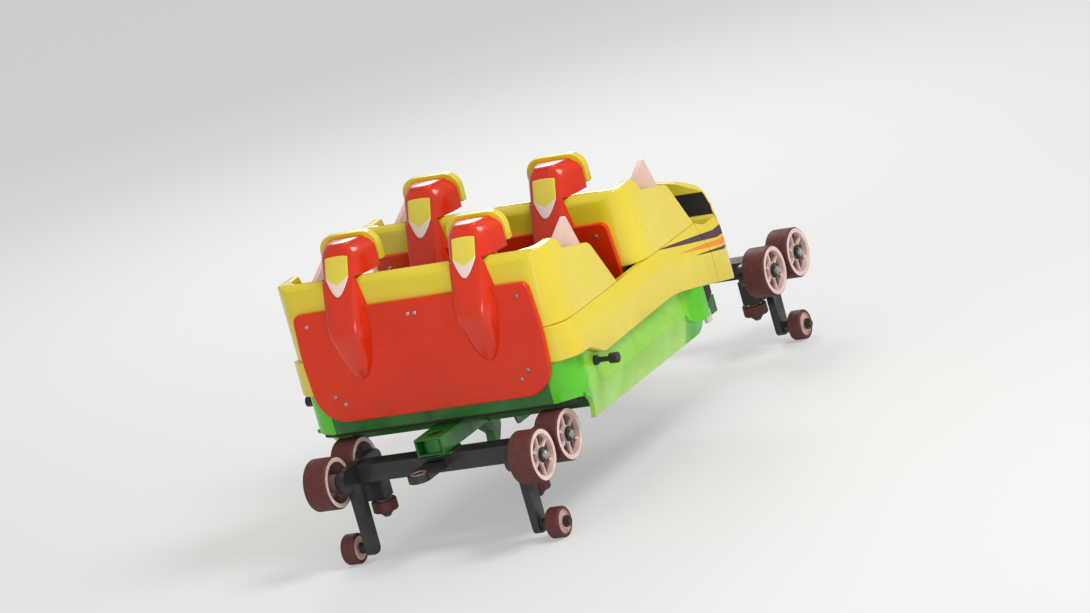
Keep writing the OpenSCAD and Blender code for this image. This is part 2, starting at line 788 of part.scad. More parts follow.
for (b = BOGIES) {
    if (want(str(b[0], "_bogie_beam"))) at_bogie(b[1]) bogie_beam();
    if (want(str(b[0], "_bogie_carriers"))) at_bogie(b[1]) bogie_carriers();
    for (s = SIDES, p = PLACES) {
        if (want(str(b[0], "_", s[0], "_", p[0], "_road_wheel")))
            on_axle(b[1] * wheelbase / 2 + p[1] * tandem / 2, s[1] * gauge / 2, axle_z, s[1]) road_wheel();
    }
    for (s = SIDES) {
        if (want(str(b[0], "_", s[0], "_guide_wheel")))
            translate([b[1] * (wheelbase / 2 - small_dx), s[1] * guide_y, rail_z]) small_wheel(guide_d, guide_w);
        if (want(str(b[0], "_", s[0], "_upstop_wheel")))
            on_axle(b[1] * (wheelbase / 2 + small_dx), s[1] * gauge / 2, upstop_d / 2, s[1])
                small_wheel(upstop_d, upstop_w);
    }
}
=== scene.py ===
"""Roller coaster car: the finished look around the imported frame. Metres, +X forwards, +Y left, +Z up."""

import json
import math

import bmesh
import bpy
import numpy as np
from mathutils import Matrix, Vector

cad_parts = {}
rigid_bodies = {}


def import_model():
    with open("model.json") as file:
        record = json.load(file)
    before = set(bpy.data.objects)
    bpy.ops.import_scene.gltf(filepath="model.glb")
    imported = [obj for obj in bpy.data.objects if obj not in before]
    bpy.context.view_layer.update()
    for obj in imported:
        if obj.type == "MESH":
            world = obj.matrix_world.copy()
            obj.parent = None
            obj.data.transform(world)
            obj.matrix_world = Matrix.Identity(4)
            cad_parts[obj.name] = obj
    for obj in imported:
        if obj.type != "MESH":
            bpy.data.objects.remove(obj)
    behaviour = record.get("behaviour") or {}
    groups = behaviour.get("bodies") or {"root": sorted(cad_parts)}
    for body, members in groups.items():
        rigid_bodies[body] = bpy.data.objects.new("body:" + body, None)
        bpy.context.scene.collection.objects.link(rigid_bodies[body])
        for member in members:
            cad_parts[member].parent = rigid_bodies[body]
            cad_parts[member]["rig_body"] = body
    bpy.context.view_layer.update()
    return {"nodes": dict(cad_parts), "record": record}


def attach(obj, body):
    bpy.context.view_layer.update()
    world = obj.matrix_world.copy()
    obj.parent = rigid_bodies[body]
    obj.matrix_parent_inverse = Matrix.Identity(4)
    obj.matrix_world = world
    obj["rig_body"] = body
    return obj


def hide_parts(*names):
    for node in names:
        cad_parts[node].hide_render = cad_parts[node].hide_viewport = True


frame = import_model()
cad = frame["nodes"]

SIDES = {"left": 1, "right": -1}
BOGIES = {"rear": -1, "front": 1}
PLACES = {"trailing": -1, "leading": 1}

# Places of the wheels and of the lap bars' pivots, from the record's joints
HINGE_AT = {joint["name"]: joint["pos_m"] for joint in frame["record"]["behaviour"]["joints"]}
ROAD_AT = HINGE_AT["front_left_leading_road_wheel_turn"]
GUIDE_AT = HINGE_AT["front_left_guide_wheel_turn"]
UPSTOP_AT = HINGE_AT["front_left_upstop_wheel_turn"]
WHEELBASE = 2 * HINGE_AT["front_bogie_steer"][0]
TANDEM, GAUGE, AXLE_Z = 2 * ROAD_AT[0] - WHEELBASE, 2 * ROAD_AT[1], ROAD_AT[2]
SMALL_DX, GUIDE_Y, UPSTOP_Z = UPSTOP_AT[0] - WHEELBASE / 2, GUIDE_AT[1], UPSTOP_AT[2]

# Each row's flank edge along X, which is PIVOT_DX behind its lap bar's pivot
PIVOT_DX, PIVOT_Z = 0.24, HINGE_AT["rear_lap_bar_swing"][2]
ROWS = {row: HINGE_AT[row + "_lap_bar_swing"][0] - PIVOT_DX for row in ("rear", "front")}

# Heights of the lower edge, upper mouldings, headrests, red panels and cushions, as in the part's source
LOW_Z, DECK_Z, HEAD_Z, PANEL_TOP, SEAT_Z = 0.5915, 1.0815, 1.2115, 0.9695, 0.5388
# Distance between the seats of a row, and the foam roll's place from the row
SEAT_PITCH, ROLL_DX, ROLL_Z = 0.56, 0.17, 0.7155


# Materials

class Amount:
    """A number that a socket carries. Sums with it are written as on paper and add Math nodes."""

    def __init__(self, nodes, socket):
        self.nodes, self.socket = nodes, socket

    def __add__(self, other):
        return self.nodes.sum_of("ADD", self, other)

    def __sub__(self, other):
        return self.nodes.sum_of("SUBTRACT", self, other)

    def __rsub__(self, other):
        return self.nodes.sum_of("SUBTRACT", other, self)

    def __mul__(self, other):
        return self.nodes.sum_of("MULTIPLY", self, other)

    def __truediv__(self, other):
        return self.nodes.sum_of("DIVIDE", self, other)

    def __pow__(self, other):
        return self.nodes.sum_of("POWER", self, other)

    def __abs__(self):
        return self.nodes.sum_of("ABSOLUTE", self)

    def __and__(self, other):
        return self.nodes.sum_of("MINIMUM", self, other)

    def __or__(self, other):
        return self.nodes.sum_of("MAXIMUM", self, other)

    __radd__, __rmul__ = __add__, __mul__

    def above(self, edge, soft):
        """0 below edge, 1 above it, over a ramp as wide as soft."""
        return ((self - edge) / soft + 0.5).within()

    def within(self):
        return (self | 0.0) & 1.0


class Nodes:
    """A node tree and the one way to add nodes to it."""

    def __init__(self, tree):
        self.tree = tree

    def feed(self, node, sockets):
        for key, value in sockets.items():
            socket = node.inputs[key.replace("_", " ") if isinstance(key, str) else key]
            if isinstance(value, Amount):
                value = value.socket
            if isinstance(value, bpy.types.NodeSocket):
                self.tree.links.new(value, socket)
            elif hasattr(socket.default_value, "__len__") and len(socket.default_value) == 4:
                socket.default_value = (*value[:3], 1.0)
            else:
                socket.default_value = value

    def make(self, kind, settings=None, sockets=None):
        """Adds a node: its settings first, a ramp's stops among them, then its sockets."""
        node = self.tree.nodes.new(kind)
        for key, value in (settings or {}).items():
            if key == "stops":
                band = node.color_ramp.elements
                while len(band) < len(value):
                    band.new(0.5)
                for stop, (position, colour) in zip(band, value):
                    stop.position, stop.color = position, (*colour, 1.0)
            else:
                setattr(node, key, value)
        self.feed(node, sockets or {})
        return node

    def sum_of(self, operation, *terms):
        node = self.make("ShaderNodeMath", {"operation": operation}, dict(enumerate(terms)))
        return Amount(self, node.outputs[0])

    def ray(self, kind):
        """1 for the rays of a kind, 0 for the others."""
        return Amount(self, self.make("ShaderNodeLightPath").outputs[kind])


class Finish(Nodes):
    """A procedural material: one Principled shader and the nodes that feed it."""

    def __init__(self, name, **constants):
        self.material = bpy.data.materials.new(name)
        self.material.use_nodes = True
        super().__init__(self.material.node_tree)
        self.shader = self.tree.nodes["Principled BSDF"]
        self.feed(self.shader, constants)
        self.place = self.make("ShaderNodeTexCoord").outputs["Object"]
        parts = self.make("ShaderNodeSeparateXYZ", sockets={"Vector": self.place}).outputs
        self.x, self.y, self.z = (Amount(self, parts[k]) for k in "XYZ")

    def stretched(self, x, y, z):
        node = self.make("ShaderNodeVectorMath", {"operation": "MULTIPLY"}, {0: self.place, 1: (x, y, z)})
        return node.outputs[0]

    def noise(self, scale, detail=4.0, roughness=0.55, stretch=(1, 1, 1), distortion=0.0):
        """Fractal noise between 0 and 1, drawn out along an axis by a stretch below 1."""
        node = self.make("ShaderNodeTexNoise", sockets={
            "Vector": self.stretched(*stretch), "Scale": scale, "Detail": detail,
            "Roughness": roughness, "Distortion": distortion})
        return Amount(self, node.outputs["Fac"])

    def cells(self, scale):
        """Distance to the nearest of many scattered points."""
        node = self.make("ShaderNodeTexVoronoi", sockets={"Vector": self.place, "Scale": scale})
        return Amount(self, node.outputs["Distance"])

    def mixed(self, mask, first, second):
        """Colour first where mask is 0, second where it is 1. Sockets 6 and 7 are the node's two colours."""
        node = self.make("ShaderNodeMix", {"data_type": "RGBA"}, {0: mask, 6: first, 7: second})
        return node.outputs[2]

    def bumped(self, height, distance, strength, under=None):
        """Normal over raised and sunk places, on top of the normal under them."""
        sockets = {"Height": height, "Distance": distance, "Strength": strength}
        if under is not None:
            sockets["Normal"] = under
        return self.make("ShaderNodeBump", sockets=sockets).outputs["Normal"]

    def y_from_seat(self):
        """Sideways distance from the middle of a seat."""
        return abs(self.y) - SEAT_PITCH / 2


def linear(red, green, blue):
    """Screen colour from 0 to 255 as the linear light that a shader takes."""
    c = np.array([red, green, blue]) / 255.0
    return tuple(float(v) for v in np.where(c <= 0.04045, c / 12.92, ((c + 0.055) / 1.055) ** 2.4))


YELLOW, RED, GREEN = linear(238, 218, 52), linear(240, 56, 4), linear(84, 196, 14)
PLUM, ORANGE = linear(70, 22, 38), linear(240, 138, 16)
# The middle colour on the next line is painted shade, for the inside of the lower body.
ROAD_DUST, INSIDE_SHADE_DARK, OLD_OIL = linear(110, 100, 84), linear(24, 25, 24), linear(30, 26, 22)

# Stripes on the nose: rear tip along X, height above the crease, half width at the front, colour
STRIPES = ((-0.10, 0.064, 0.0175, PLUM), (0.02, 0.028, 0.0135, ORANGE), (0.12, 0.003, 0.0075, PLUM))


def nose_stripes(f, shade):
    """Plain speed stripes, parallel to the crease below the sill. They run round the nose and taper to the
    rear."""
    crease_z, crease_from, crease_to, slope = 0.7165, -0.115, 0.33, 0.18
    crease = crease_z - ((f.x & crease_to) - crease_from) * slope
    outside = abs(f.y).above(0.589, 0.001) | f.x.above(0.412, 0.002)
    full_x = 0.40
    for tail, rise, half, ink in STRIPES:
        taper = ((f.x - tail) / (full_x - tail)).within() ** 0.7
        band = 1.0 - abs(f.z - crease - rise).above(taper * half, 0.0008)
        shade = f.mixed(band * outside * f.x.above(tail, 0.002), shade, ink)
    return shade


def body_inside(f):
    """1 on the inside of the lower body, which is painted dark as shade: its walls up to the sill, and the
    nose's leaning wall up to a band below its crest. The walls end where the outer skin's rounded edges
    begin."""
    wall_y, wall_top, tail_x, corner_x, corner_y = 0.587, 0.742, -0.9716, -0.990, 0.50
    nose_x, lean_from, lean = 0.4005, 0.756, 0.243
    bevel_x, bevel_reach, crest_top = 0.289, 0.030, 0.852
    side = abs(f.y)
    front = f.x - nose_x - ((f.z - lean_from) | 0.0) * lean
    bevel = (f.x - bevel_x) * 0.84 + (side - wall_y) * 0.54
    behind = f.x.above(tail_x, 0.0006) | (f.x.above(corner_x, 0.001) * (1.0 - side.above(corner_y, 0.002)))
    low = (1.0 - side.above(wall_y, 0.001)) * behind * (1.0 - front.above(0.002, 0.001))
    low = low * (1.0 - bevel.above(bevel_reach, 0.003)) * (1.0 - f.z.above(wall_top, 0.002))
    crest = (1.0 - abs(front).above(0.004, 0.001)) * (1.0 - f.z.above(crest_top, 0.002))
    crest = crest * f.z.above(wall_top - 0.002, 0.002)
    crest = crest * (1.0 - (side + (f.x - 0.42) * 1.53).above(0.580, 0.002))
    return low | crest


def moulded(name, colour, deep, pale, wet=0.6, shaded=False, tip=None, shine=0.5):
    """Gelcoat over glass fibre: a wavy gloss coat, faint mottling, hairline scratches and road dust low down.
    Shaded: with the nose's stripes, and painted dark on the inside of the lower body, as shade.
    A tip: the colour below a shield's shoulders."""
    f = Finish(name, Coat_Roughness=0.06, Coat_IOR=1.5, Specular_IOR_Level=shine)
    cloudy = f.noise(2.3, 3.0)
    mottle = f.noise(38.0, 5.0, 0.6)
    hair = f.noise(9.0, 7.0, 0.75, (1.0, 14.0, 0.35), 0.6).above(0.665, 0.03)
    dust = (1.0 - f.z.above(0.64, 0.22)) * f.noise(7.0, 6.0, 0.7).above(0.52, 0.3)
    shade = f.mixed((cloudy.above(0.5, 0.5) * 0.55 + mottle * 0.2).within(), deep, colour)
    shade = f.mixed(hair * 0.35, shade, pale)
    shade = f.mixed(dust * 0.22, shade, ROAD_DUST)
    if tip:
        shoulder = DECK_Z - 0.016 + abs(f.y_from_seat()) * 0.55
        shade = f.mixed(1.0 - f.z.above(shoulder, 0.0015), shade, tip)
    rough = 0.24 + mottle * 0.1 + hair * 0.25 + dust * 0.25
    if shaded:
        # Painted shade: the inside of the lower body goes near black, where it would lie in shadow.
        inside = body_inside(f)
        shade = f.mixed(inside, nose_stripes(f, shade), INSIDE_SHADE_DARK)
        rough = rough + inside * 0.3
    skin = f.bumped(f.noise(52.0, 2.0, 0.4), 0.0012, 0.16)
    f.feed(f.shader, {"Base Color": shade, "Roughness": rough, "Coat Weight": wet - dust * 0.4,
                      "Normal": f.bumped(hair, 0.0003, 0.25, skin)})
    return f.material


def skirt_inside(f):
    """1 on a skirt's upper inside, which is painted dark as shade: within its rounded rear corner, and above
    the level of the tray.
    """
    corner_x, corner_y, corner_r = 0.910, 0.493, 0.0932
    corner = (((f.x * -1.0 - corner_x) | 0.0) ** 2.0 + ((abs(f.y) - corner_y) | 0.0) ** 2.0) ** 0.5
    hidden = (1.0 - corner.above(corner_r, 0.001)) * f.z.above(0.50, 0.004)
    hidden = hidden | (f.z.above(0.615, 0.002) * f.x.above(-0.76, 0.004))
    return hidden * (1.0 - f.x.above(0.10, 0.004))


def painted(name, colour, deep, chip, gloss=0.3, grime=0.5, flank=None, low=None):
    """Enamel on steel: sprayed film with orange peel, oily dirt in clouds, small chips to primer.
    Flank and low: the paler colour of a skirt's side between its rounded ends, which is painted light, and
    the paler colour still that this fades to below, painted light from beneath.
    A skirt's upper inside is painted dark, as shade."""
    f = Finish(name, Coat_Roughness=0.12)
    oil = f.noise(5.5, 7.0, 0.68, distortion=0.8).above(0.56, 0.26)
    peel = f.noise(170.0, 2.0, 0.5)
    spots = (1.0 - f.cells(46.0).above(0.085, 0.03)) * f.noise(6.0, 3.0).above(0.6, 0.08)
    streak = f.noise(12.0, 4.0, 0.6, (1.0, 1.0, 0.12)).above(0.56, 0.3)
    shade = f.mixed((streak * 0.35).within(), colour, deep)
    if flank:
        # Painted light: the side between the rounded ends is paler than the ends, and paler still towards the
        # bottom.
        side = (1.0 - f.x.above(0.0, 0.03)) * f.x.above(-0.885, 0.03)
        shade = f.mixed(side, shade, f.mixed((1.0 - f.z.above(0.44, 0.12)) * 0.6, flank, low))
    shade = f.mixed(oil * grime, shade, OLD_OIL)
    shade = f.mixed(spots, shade, chip)
    if flank:
        # Painted shade: the skirt's upper inside goes near black.
        shade = f.mixed(skirt_inside(f), shade, linear(26, 26, 28))
    f.feed(f.shader, {"Base Color": shade, "Roughness": gloss + oil * 0.28 + spots * 0.3 + peel * 0.05,
                      "Coat Weight": 0.35 - oil * 0.25,
                      "Normal": f.bumped(peel - spots * 1.5, 0.0006, 0.3)})
    return f.material


def bare_steel(name, colour, rough=0.32):
    """Machined or plated steel: turned rings of fine lines and a film of old grease."""
    f = Finish(name, Metallic=1.0)
    lines = f.noise(30.0, 5.0, 0.6, (1.0, 22.0, 1.0))
    film = f.noise(18.0, 6.0, 0.7).above(0.55, 0.25)
    shade = f.mixed(film * 0.6, colour, linear(70, 58, 44))
    f.feed(f.shader, {"Base Color": shade, "Roughness": rough + film * 0.3 + lines * 0.08,
                      "Normal": f.bumped(lines, 0.0003, 0.25)})
    return f.material


def upholstery(name, colour, pale):
    """Skinned black vinyl over foam: pebbled grain, polished and greyer in patches where it is rubbed."""
    f = Finish(name, Specular_IOR_Level=0.42, Sheen_Weight=0.12, Sheen_Roughness=0.5)
    pebble = f.cells(420.0)
    creases = f.noise(26.0, 6.0, 0.62, distortion=1.2)
    rub = f.noise(3.2, 3.0).above(0.5, 0.35)
    shade = f.mixed((rub * 0.5 + creases * 0.25).within(), colour, pale)
    f.feed(f.shader, {"Base Color": shade, "Roughness": 0.52 - rub * 0.14 + pebble * 0.1,
                      "Normal": f.bumped(pebble, 0.0006, 0.55, f.bumped(creases, 0.003, 0.3))})
    return f.material


def tray_plastic(name, colour):
    """Moulded floor: fine grain and rows of raised anti-slip dashes on level faces, with trodden dust."""
    f = Finish(name)
    wave = [f.sum_of("SINE", axis * rate) for axis, rate in ((f.x, 210.0), (f.y, 105.0))]
    ribs = (wave[0] * wave[1]).above(0.45, 0.25)
    grain = f.noise(300.0, 2.0)
    dust = f.noise(6.0, 6.0, 0.7).above(0.5, 0.35)
    f.feed(f.shader, {"Base Color": f.mixed(dust * 0.3, colour, linear(96, 88, 76)),
                      "Roughness": 0.55 + dust * 0.25,
                      "Normal": f.bumped(ribs, 0.0016, 0.5, f.bumped(grain, 0.0005, 0.4))})
    return f.material


def wheel_finish(name, rim, dark, hub, tread_from, upright=False, web_to=0.0):
    """Cast polyurethane tread round a pale rim, by distance from the nearest wheel centre. The hub is that
    centre's place: from the bogie's pivot along X, and along Z, or along Y for a wheel on an upright axle.
    With a web radius, the recessed web inside it is painted darker, as shade, and its ribs and hub keep the
    rim's colour."""
    f = Finish(name)
    along = abs(abs(f.x) - WHEELBASE / 2) - hub[0]
    other = (abs(f.y) if upright else f.z) - hub[1]
    reach = (along ** 2.0 + other ** 2.0) ** 0.5
    band = reach.above(tread_from, 0.0006)
    scuff = f.noise(60.0, 6.0, 0.7).above(0.5, 0.3)
    grime = f.noise(14.0, 6.0, 0.7).above(0.54, 0.3)
    metal = f.mixed(grime * 0.3, rim, dark)
    # Painted shade: the recessed web between the ribs is darker than the rim.
    if web_to:
        rib = abs(f.y).above(GAUGE / 2 + 0.0275, 0.002)
        web = (1.0 - reach.above(web_to, 0.0008)) * (1.0 - rib)
        metal = f.mixed(web * 0.85, metal, dark)
    rubber = f.mixed(scuff * 0.4, linear(82, 26, 26), linear(108, 66, 58))
    f.feed(f.shader, {"Base Color": f.mixed(band, metal, rubber),
                      "Metallic": (1.0 - band) * 0.25,
                      "Roughness": 0.34 + band * 0.24 + grime * 0.18,
                      "Normal": f.bumped(scuff * band + grime * 0.3, 0.0005, 0.4)})
    return f.material


def two_tone(name, first, second, edge):
    """Enamel of one colour behind a place along X and of another ahead of it."""
    f = Finish(name, Coat_Roughness=0.12)
    grime = f.noise(22.0, 6.0, 0.7).above(0.52, 0.3)
    shade = f.mixed(f.x.above(edge, 0.002), first, second)
    f.feed(f.shader, {"Base Color": f.mixed(grime * 0.3, shade, linear(44, 38, 32)),
                      "Roughness": 0.32 + grime * 0.3,
                      "Normal": f.bumped(grime, 0.0005, 0.3)})
    return f.material


YELLOW_SHADES = YELLOW, linear(222, 196, 30), linear(250, 240, 150)
GREEN_SHADES = GREEN, linear(74, 176, 14), linear(150, 140, 120)
# Pale parts: pale colours whose pink tint is painted warm light, here and in the small rims below.
WARM_LIT_PALE_SHADES = linear(234, 196, 184), linear(206, 160, 148), linear(120, 110, 104)
SHIELD_SHADES = linear(240, 226, 92), linear(220, 198, 40), linear(252, 246, 190)
SMALL_RIM = linear(226, 190, 180), linear(96, 70, 62)
RED_HAIRLINES = linear(246, 130, 90)
FINISHES = {
    "yellow_gelcoat": moulded("yellow gelcoat", *YELLOW_SHADES),
    # This gelcoat carries painted shade on the inside of the lower body.
    "body_gelcoat": moulded("lined yellow gelcoat", *YELLOW_SHADES, shaded=True),
    # The bracket's pale colour ahead carries the same painted tint of warm light.
    "brackets": two_tone("bracket enamel", linear(24, 24, 26), linear(226, 214, 206), -0.3),
    "red_gelcoat": moulded("red gelcoat", RED, linear(210, 38, 2), RED_HAIRLINES, 0.28, shine=0.28),
    # The last two colours below are painted light on the skirt's side: paler between the ends, paler still
    # low down.
    "green_paint": painted("bright green enamel", *GREEN_SHADES, 0.24, 0.13,
                           linear(140, 212, 40), linear(186, 230, 110)),
    "frame_paint": painted("dark green enamel", linear(24, 112, 22), linear(14, 74, 14),
                           linear(120, 108, 92), 0.34, 0.45),
    "pale_paint": painted("pale pink enamel", *WARM_LIT_PALE_SHADES, 0.3, 0.12),
    "seat_gelcoat": moulded("seat shell gelcoat", linear(236, 56, 6), linear(202, 36, 4),
                            RED_HAIRLINES, 0.5, shine=0.3),
    "badge_paint": moulded("shield enamel", *SHIELD_SHADES, 0.8, tip=linear(238, 214, 204)),
    "running_gear": painted("black chassis enamel", linear(30, 29, 33), linear(18, 17, 19),
                            linear(104, 84, 66), 0.36, 0.6),
    "black_tray": tray_plastic("floor tray plastic", linear(27, 27, 29)),
    "black_foam": upholstery("black seat vinyl", linear(22, 22, 25), linear(58, 57, 60)),
    # The road wheel's rim and web colours carry the same painted pink tint of warm light.
    "road": wheel_finish("road wheel", linear(246, 216, 208), linear(112, 84, 82),
                         (TANDEM / 2, AXLE_Z), 0.0972, web_to=0.0810),
    "guide": wheel_finish("guide wheel", *SMALL_RIM, (SMALL_DX, GUIDE_Y), 0.0365, upright=True),
    "upstop": wheel_finish("upstop wheel", *SMALL_RIM, (SMALL_DX, UPSTOP_Z), 0.0465),
    "plated": bare_steel("plated steel", linear(190, 188, 182)),
    "oiled": bare_steel("oiled dark steel", linear(96, 90, 86), 0.42),
    "edging": upholstery("rubber edging", linear(16, 16, 17), linear(34, 34, 34)),
}
# Finish of the nodes whose names end in these words. The others take the finish that is named for their slot.
OWN_FINISH = {
    "road_wheel": "road", "guide_wheel": "guide", "upstop_wheel": "upstop", "side_brackets": "brackets",
    "tub_left": "body_gelcoat", "tub_right": "body_gelcoat", "nose_shell": "body_gelcoat",
}
BODY_OF = {node: shape["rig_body"] for node, shape in cad.items()}
SLOT_OF = {part["node"]: part["material_slot"] for part in frame["record"]["subparts"]}


def finish_of(node):
    """Material of a CAD node, by its name or else by its slot."""
    for word, name in OWN_FINISH.items():
        if node.endswith(word):
            return FINISHES[name]
    return FINISHES[SLOT_OF[node]]


def dress(piece, material):
    """Gives a piece one material in place of its own."""
    piece.data.materials.clear()
    piece.data.materials.append(material)


for node_name, node_object in cad.items():
    dress(node_object, finish_of(node_name))


# Making meshes

def lattice_faces(rows, columns, round_rows=False):
    """Quads between neighbouring points of a grid. Its columns join round, and its rows where it is said."""
    i, j = np.meshgrid(np.arange(rows if round_rows else rows - 1), np.arange(columns), indexing="ij")
    next_i, next_j = (i + 1) % rows, (j + 1) % columns
    corners = ((i, j), (next_i, j), (next_i, next_j), (i, next_j))
    return np.stack([row * columns + column for row, column in corners], -1).reshape(-1, 4)


# Distances within which points are merged: in new pieces, in copies of CAD nodes and in pads
WELD, NODE_WELD, PAD_WELD = 2e-6, 2e-5, 1e-5


def welded_mesh(name, points, faces, distance):
    """Mesh from arrays: points nearer than a distance merged, normals outwards."""
    mesh = bpy.data.meshes.new(name)
    mesh.from_pydata(np.asarray(points, float).reshape(-1, 3).tolist(), [], np.asarray(faces).tolist())
    work = bmesh.new()
    work.from_mesh(mesh)
    bmesh.ops.remove_doubles(work, verts=work.verts, dist=distance)
    bmesh.ops.recalc_face_normals(work, faces=work.faces)
    work.to_mesh(mesh)
    work.free()
    return mesh


def piece_of(name, node, finish, points, faces, instead=False, smooth=35.0):
    """A finished piece from arrays, smooth but for sharp folds. It goes with a node, whose body it takes.
    Instead: it replaces that node."""
    mesh = welded_mesh(name, points, faces, WELD)
    mesh.shade_smooth()
    mesh.set_sharp_from_angle(angle=math.radians(smooth))
    piece = bpy.data.objects.new(name, mesh)
    bpy.context.scene.collection.objects.link(piece)
    dress(piece, FINISHES[finish])
    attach(piece, BODY_OF[node])
    if instead:
        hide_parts(node)
    return piece


def turned_points(profile, sectors, centre=(0, 0, 0), axis="Y"):
    """Profile of (radius, height) pairs turned about the Y or Z axis through centre."""
    r, h = np.array(profile, float).T
    a = np.linspace(0, 2 * math.pi, sectors, endpoint=False)
    u, v = r[:, None] * np.cos(a), r[:, None] * np.sin(a)
    w = np.repeat(h[:, None], sectors, 1)
    order = {"Y": (v, w, u), "Z": (u, v, w)}[axis]
    return (np.stack(order, -1) + np.array(centre)).reshape(-1, 3)


def many(points, faces, places, turns):
    """Copies of one form: its points turned by each matrix and set at each place."""
    points, places, turns = np.asarray(points), np.asarray(places), np.asarray(turns)
    laid = np.einsum("kab,nb->kna", turns, points) + places[:, None, :]
    shift = (np.arange(len(places)) * len(points))[:, None, None]
    return laid.reshape(-1, 3), (np.asarray(faces)[None] + shift).reshape(-1, faces.shape[1])


def facing(direction):
    """Turn that takes +Z to a direction."""
    return np.array(Vector(direction).to_track_quat("Z", "Y").to_matrix())


def rolled(piece, width, angle=40.0, free=False):
    """Bevel on the folds sharper than an angle. Free: the width holds past the short edges of arcs too."""
    bevel = piece.modifiers.new("rolled edges", "BEVEL")
    bevel.width, bevel.segments, bevel.limit_method = width, 3, "ANGLE"
    bevel.angle_limit = math.radians(angle)
    bevel.harden_normals, bevel.use_clamp_overlap = True, not free


def softened(node, width, free):
    """A CAD node's own shape with its sharp edges rolled over: a copy, its flat faces joined, bevelled."""
    fold, flat = 34.0, 1.2
    mesh = cad[node].data.copy()
    mesh.name = node + "_skin"
    work = bmesh.new()
    work.from_mesh(mesh)
    bmesh.ops.remove_doubles(work, verts=work.verts, dist=NODE_WELD)
    bmesh.ops.dissolve_limit(work, angle_limit=math.radians(flat), verts=work.verts, edges=work.edges)
    work.to_mesh(mesh)
    work.free()
    mesh.shade_smooth()
    mesh.set_sharp_from_angle(angle=math.radians(fold))
    piece = bpy.data.objects.new(node + "_skin", mesh)
    bpy.context.scene.collection.objects.link(piece)
    rolled(piece, width, fold, free)
    dress(piece, finish_of(node))
    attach(piece, BODY_OF[node])
    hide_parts(node)


# Edge radius of each rigid piece, and the pieces whose short arcs don't limit it
FREE_EDGES = ("tub_left", "tub_right", "rear_pod", "front_pod", "chassis_frame",
              "skirt_left", "skirt_right", "rear_bogie_beam", "front_bogie_beam")
EDGES = {
    "tub_left": 0.005, "tub_right": 0.005, "nose_shell": 0.004,
    "skirt_left": 0.002, "skirt_right": 0.002, "rear_valance": 0.003, "floor_pan": 0.003,
    "side_brackets": 0.003, "chassis_frame": 0.0025,
}
ROW_EDGES = {"pod": 0.006, "back_panel": 0.006, "seat_base": 0.003, "headrest_caps": 0.004, "lap_bar": 0.0035}
BOGIE_EDGES = {"bogie_beam": 0.002, "bogie_carriers": 0.003}
EDGES.update({f"{row}_{name}": edge for row in ROWS for name, edge in ROW_EDGES.items()})
EDGES.update({f"{bogie}_{name}": edge for bogie in BOGIES for name, edge in BOGIE_EDGES.items()})
for node_name, edge in EDGES.items():
    softened(node_name, edge, node_name in FREE_EDGES)


def running_mean(line, reach):
    """Mean over a window, the line's ends carried on at their own slope."""
    before = 2 * line[0] - line[reach:0:-1]
    after = 2 * line[-1] - line[-2:-reach - 2:-1]
    window = np.full(2 * reach + 1, 1 / (2 * reach + 1))
    return np.convolve(np.concatenate([before, line, after]), window, "valid")


def ring(count, power):
    """Closed superellipse: cosine and sine, each raised to 2 / power with its sign kept."""
    a = np.linspace(0, 2 * math.pi, count, endpoint=False)
    return tuple(np.sign(t) * np.abs(t) ** (2 / power) for t in (np.cos(a), np.sin(a)))


def turned(profile, sectors):
    """Solid of a profile turned about Z."""
    return turned_points(profile, sectors, axis="Z"), lattice_faces(len(profile), sectors)


def joined(*parts):
    """Several pairs of points and faces as one."""
    points, faces, start = [], [], 0
    for part_points, part_faces in parts:
        points.append(part_points)
        faces.append(part_faces + start)
        start += len(part_points)
    return np.concatenate(points), np.concatenate(faces)


def tube(path, radius, sectors, up, closed=False):
    """Round bar along a path: at each point a circle square to the path's direction."""
    path = np.asarray(path, float)
    if closed:
        along = np.roll(path, -1, 0) - np.roll(path, 1, 0)
    else:
        along = np.gradient(path, axis=0)
    along /= np.linalg.norm(along, axis=1, keepdims=True)
    side = np.cross(along, np.asarray(up, float))
    side /= np.linalg.norm(side, axis=1, keepdims=True)
    rise = np.cross(side, along)
    a = np.linspace(0, 2 * math.pi, sectors, endpoint=False)
    radius = np.broadcast_to(np.asarray(radius, float), (len(path),))[:, None, None]
    circle = np.cos(a)[None, :, None] * side[:, None] + np.sin(a)[None, :, None] * rise[:, None]
    return (path[:, None] + radius * circle).reshape(-1, 3), lattice_faces(len(path), sectors, closed)


# Seat shells and shields

# Flat part of a shell's back width, depth of the chamfers beside it, its bulge, and the rounding of the top
BACK_RATIO, CHAMFER, BULGE, CROWN = 0.60, 0.105, 0.004, 0.014
FOOT_Z, PANEL_BACK = LOW_Z + 0.095, -0.1221
# Heights, with a shell's back line and its half width there. The lines between them are smoothed.
BACK_AT = [FOOT_Z, LOW_Z + 0.29, DECK_Z - 0.03, HEAD_Z + 0.01], [-0.124, -0.190, -0.124, -0.046]
WIDTH_AT = [FOOT_Z, DECK_Z - 0.19, HEAD_Z], [0.066, 0.112, 0.1178]
FINE_Z = np.linspace(FOOT_Z, HEAD_Z, 240)
BACK_LINE = running_mean(np.interp(FINE_Z, *BACK_AT), 22)
WIDTH_LINE = running_mean(np.interp(FINE_Z, *WIDTH_AT), 22)


def shell_lines(z):
    """Back line and half width of a seat shell: a round foot, and round shoulders at the head."""
    foot_rise, corner = 0.075, 0.046
    foot = np.clip(1 - (z - FOOT_Z) / foot_rise, 0, 1)
    shoulder = np.clip((z - (HEAD_Z - CROWN - corner)) / corner, 0, 1)
    half = np.interp(z, FINE_Z, WIDTH_LINE) * np.sqrt(1 - foot ** 2)
    return np.interp(z, FINE_Z, BACK_LINE), half - corner + corner * np.sqrt(1 - 0.93 * shoulder ** 2)


